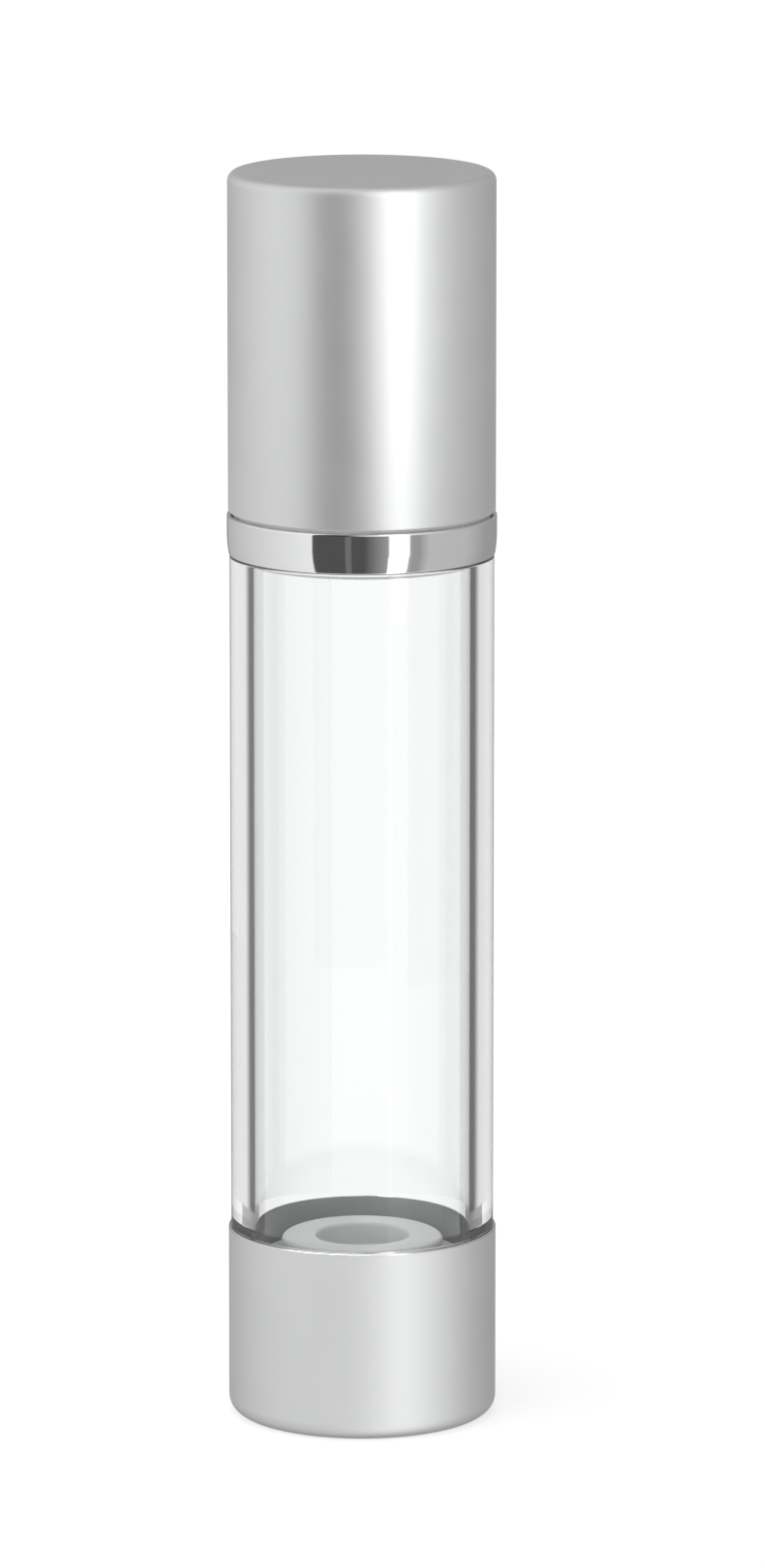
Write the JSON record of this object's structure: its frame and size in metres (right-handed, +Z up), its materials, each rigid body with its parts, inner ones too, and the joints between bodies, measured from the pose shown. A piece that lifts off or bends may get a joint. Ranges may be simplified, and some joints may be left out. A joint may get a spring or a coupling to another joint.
{
  "type": "airless pump bottle",
  "caption": "Slim airless pump bottle with a clear thick-walled body, a rising follower piston, a metal-clad pump head, a polished collar and a pull-off metal cap.",
  "frame": {"origin": "centre of the base's underside, which the bottle stands on", "axes": "+Z up along the bottle's axis, the pump head's nozzle looks along -Y at rest"},
  "size_m": [0.0335, 0.0334, 0.157],
  "materials": {
    "satin_aluminium": "satin anodised",
    "polished_aluminium": "mirror polished",
    "clear_plastic": "clear, polished",
    "milky_plastic": "milky, soft sheen",
    "white_plastic": "white, semi-gloss",
    "seal": "soft matte",
    "steel": "drawn wire and polished ball"
  },
  "bodies": {
    "bottle": {"base_shell": "satin_aluminium", "base_insert": "white_plastic", "bottle_body": "clear_plastic", "neck_gasket": "seal", "pump_plug": "white_plastic", "pump_housing": "milky_plastic", "pump_retainer": "white_plastic", "return_spring": "steel", "collar_core": "white_plastic", "collar_shell": "polished_aluminium"},
    "follower": {"follower_piston": "milky_plastic"},
    "stem": {"pump_stem": "white_plastic", "stem_plunger": "white_plastic"},
    "head": {"actuator_button": "white_plastic", "actuator_shell": "satin_aluminium", "nozzle_insert": "white_plastic"},
    "piston": {"pump_piston": "milky_plastic"},
    "valve": {"inlet_valve_ball": "steel"},
    "cap": {"cap_shell": "satin_aluminium", "cap_liner": "white_plastic"}
  },
  "joints": [
    {"name": "follower_rise", "type": "slide", "parent": "bottle", "child": "follower", "axis": [0, 0, 1], "range_m": [0, 0.085]},
    {"name": "actuator_press", "type": "slide", "parent": "bottle", "child": "stem", "axis": [0, 0, -1], "range_m": [0, 0.0045], "stiffness_N_per_m": 2200, "springref_m": -0.004, "deforming": ["return_spring"]},
    {"name": "actuator_turn", "type": "hinge", "parent": "stem", "child": "head", "pos_m": [0, 0, 0.14], "axis": [0, 0, 1], "continuous": true},
    {"name": "pump_piston_follow", "type": "slide", "parent": "bottle", "child": "piston", "axis": [0, 0, -1], "range_m": [0, 0.0039]},
    {"name": "inlet_valve_lift", "type": "slide", "parent": "bottle", "child": "valve", "axis": [0, 0, 1], "range_m": [0, 0.0008]},
    {"name": "cap_lift", "type": "slide", "parent": "bottle", "child": "cap", "axis": [0, 0, 1], "range_m": [0, 0.06]}
  ],
  "couplings": [
    {"joint": "pump_piston_follow", "follows": "actuator_press", "ratio": 0.85}
  ]
}
